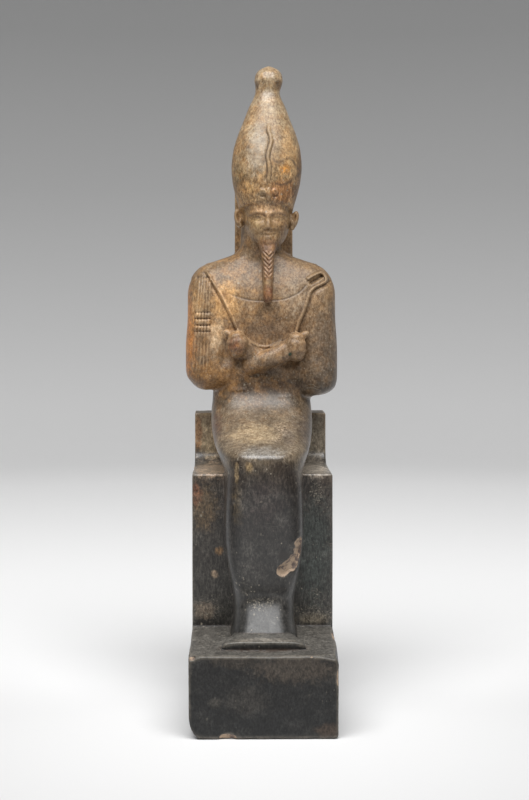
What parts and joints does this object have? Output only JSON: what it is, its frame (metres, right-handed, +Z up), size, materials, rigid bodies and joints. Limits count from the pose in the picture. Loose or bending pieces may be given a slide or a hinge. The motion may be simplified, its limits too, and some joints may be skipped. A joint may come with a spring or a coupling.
{
  "type": "egyptian osiris statuette",
  "caption": "Dark stone statuette of a seated Osiris in a tall crown, wrapped, arms crossed with crook and flail, on a throne with base and back pillar.",
  "frame": {"origin": "middle of the flat underside of the base, on the surface it stands on", "axes": "+Z up, -Y the way the figure faces, +X the viewer's right when the viewer faces the figure"},
  "size_m": [0.0724, 0.114, 0.3],
  "materials": {
    "dark_stone": "worn semi-polish, brown above and near-black below"
  },
  "bodies": {
    "root": {"osiris_statuette": "dark_stone"}
  },
  "joints": []
}
